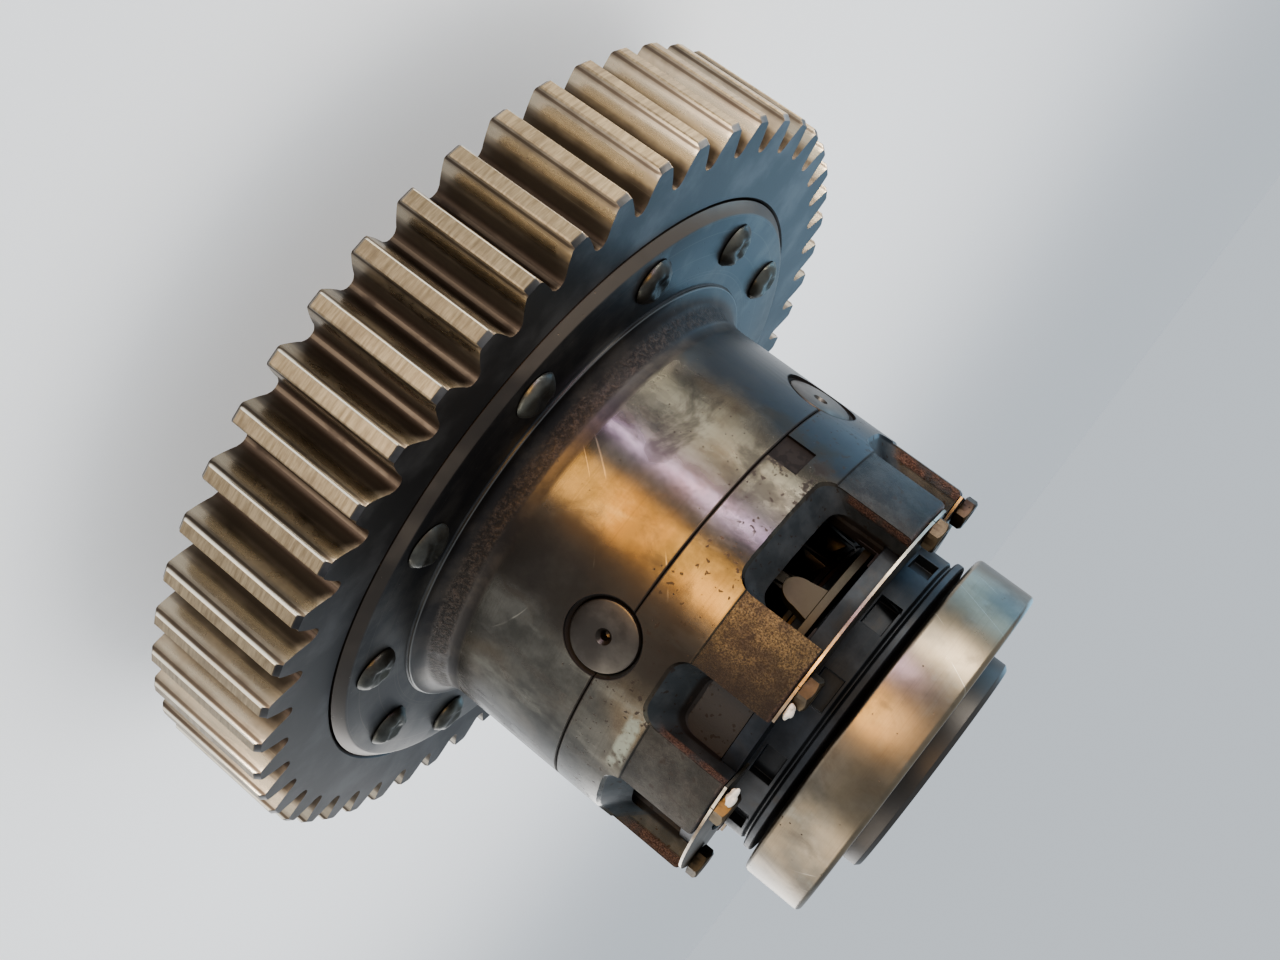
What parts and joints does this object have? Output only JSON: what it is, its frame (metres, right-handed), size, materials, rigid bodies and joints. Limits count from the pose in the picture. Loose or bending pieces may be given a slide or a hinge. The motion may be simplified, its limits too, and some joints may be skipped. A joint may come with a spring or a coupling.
{
  "type": "differential with ring gear",
  "caption": "Vehicle differential: a toothed ring gear riveted to a flanged round case with pinned bevel gears inside and a ball bearing on each stub end.",
  "frame": {"origin": "on the main axis, in the plane of the lower stub's end face", "axes": "+Z along the main axis from the gear side to the window side, +X along the first cross pin"},
  "size_m": [0.324, 0.3238, 0.2565],
  "materials": {
    "gear_steel": "oiled machined steel, brownish, satin",
    "case_steel": "turned steel casting, satin, stained",
    "cover_steel": "turned below, rough cast bars above",
    "rivet_steel": "dull dark grey-green steel",
    "pin_steel": "ground steel, dark oil film",
    "planet_steel": "forged gear steel, satin",
    "side_gear_steel": "forged gear steel, satin",
    "washer_bronze": "bronze thrust washer, satin",
    "lock_plate_steel": "pressed steel, warm satin",
    "hub_steel": "dark grey machined casting",
    "keeper_steel": "thin bright steel edge",
    "bolt_steel": "brown oiled hexagon head",
    "race_steel": "ground bearing steel, golden satin",
    "cage_brass": "machined brass cage with steel balls"
  },
  "bodies": {
    "case": {"ring_gear": "gear_steel", "case_flange_half": "case_steel", "case_cover_half": "cover_steel", "flange_rivet_01": "rivet_steel", "flange_rivet_02": "rivet_steel", "flange_rivet_03": "rivet_steel", "flange_rivet_04": "rivet_steel", "flange_rivet_05": "rivet_steel", "flange_rivet_06": "rivet_steel", "flange_rivet_07": "rivet_steel", "flange_rivet_08": "rivet_steel", "flange_rivet_09": "rivet_steel", "flange_rivet_10": "rivet_steel", "flange_rivet_11": "rivet_steel", "flange_rivet_12": "rivet_steel", "cross_pin_1": "pin_steel", "cross_pin_2": "pin_steel", "cross_pin_3": "pin_steel", "cross_pin_4": "pin_steel", "cross_block": "pin_steel", "planet_washer_1": "washer_bronze", "planet_washer_2": "washer_bronze", "planet_washer_3": "washer_bronze", "planet_washer_4": "washer_bronze", "side_washer_upper": "washer_bronze", "side_washer_lower": "washer_bronze", "end_hub": "hub_steel", "keeper_plate_1": "keeper_steel", "keeper_plate_2": "keeper_steel", "keeper_plate_3": "keeper_steel", "keeper_plate_4": "keeper_steel", "case_bolt_1": "bolt_steel", "case_bolt_2": "bolt_steel", "case_bolt_3": "bolt_steel", "case_bolt_4": "bolt_steel", "case_bolt_5": "bolt_steel", "case_bolt_6": "bolt_steel", "case_bolt_7": "bolt_steel", "case_bolt_8": "bolt_steel", "upper_bearing_inner": "race_steel", "lower_bearing_inner": "race_steel"},
    "upper_outer_ring": {"upper_bearing_outer": "race_steel"},
    "upper_ball_set": {"upper_bearing_balls": "cage_brass"},
    "lower_outer_ring": {"lower_bearing_outer": "race_steel"},
    "lower_ball_set": {"lower_bearing_balls": "cage_brass"},
    "side_gear_below": {"side_gear_lower": "side_gear_steel"},
    "side_gear_above": {"side_gear_upper": "side_gear_steel"},
    "planet_1": {"planet_pinion_1": "planet_steel"},
    "planet_2": {"planet_pinion_2": "planet_steel"},
    "planet_3": {"planet_pinion_3": "planet_steel"},
    "planet_4": {"planet_pinion_4": "planet_steel"},
    "lock_ring": {"lock_plate": "lock_plate_steel"}
  },
  "joints": [
    {"name": "upper_bearing_spin", "type": "hinge", "parent": "case", "child": "upper_outer_ring", "pos_m": [0, 0, 0.2374], "axis": [0, 0, 1], "continuous": true},
    {"name": "upper_cage_spin", "type": "hinge", "parent": "case", "child": "upper_ball_set", "pos_m": [0, 0, 0.2374], "axis": [0, 0, 1], "continuous": true},
    {"name": "lower_bearing_spin", "type": "hinge", "parent": "case", "child": "lower_outer_ring", "pos_m": [0, 0, 0.019], "axis": [0, 0, 1], "continuous": true},
    {"name": "lower_cage_spin", "type": "hinge", "parent": "case", "child": "lower_ball_set", "pos_m": [0, 0, 0.019], "axis": [0, 0, 1], "continuous": true},
    {"name": "side_gear_lower_spin", "type": "hinge", "parent": "case", "child": "side_gear_below", "pos_m": [0, 0, 0.14875], "axis": [0, 0, 1], "continuous": true},
    {"name": "side_gear_upper_spin", "type": "hinge", "parent": "case", "child": "side_gear_above", "pos_m": [0, 0, 0.14875], "axis": [0, 0, 1], "continuous": true},
    {"name": "planet_1_spin", "type": "hinge", "parent": "case", "child": "planet_1", "pos_m": [0, 0, 0.14875], "axis": [1, 0, 0], "continuous": true},
    {"name": "planet_2_spin", "type": "hinge", "parent": "case", "child": "planet_2", "pos_m": [0, 0, 0.14875], "axis": [0, 1, 0], "continuous": true},
    {"name": "planet_3_spin", "type": "hinge", "parent": "case", "child": "planet_3", "pos_m": [0, 0, 0.14875], "axis": [-1, 0, 0], "continuous": true},
    {"name": "planet_4_spin", "type": "hinge", "parent": "case", "child": "planet_4", "pos_m": [0, 0, 0.14875], "axis": [0, -1, 0], "continuous": true},
    {"name": "lock_plate_slide", "type": "slide", "parent": "case", "child": "lock_ring", "axis": [0, 0, 1], "range_m": [-0.004, 0.002]}
  ],
  "couplings": [
    {"joint": "upper_cage_spin", "follows": "upper_bearing_spin", "ratio": 0.5556},
    {"joint": "lower_cage_spin", "follows": "lower_bearing_spin", "ratio": 0.5556},
    {"joint": "side_gear_upper_spin", "follows": "side_gear_lower_spin", "ratio": -1},
    {"joint": "planet_1_spin", "follows": "side_gear_lower_spin", "ratio": 1.6},
    {"joint": "planet_2_spin", "follows": "side_gear_lower_spin", "ratio": 1.6},
    {"joint": "planet_3_spin", "follows": "side_gear_lower_spin", "ratio": 1.6},
    {"joint": "planet_4_spin", "follows": "side_gear_lower_spin", "ratio": 1.6}
  ]
}
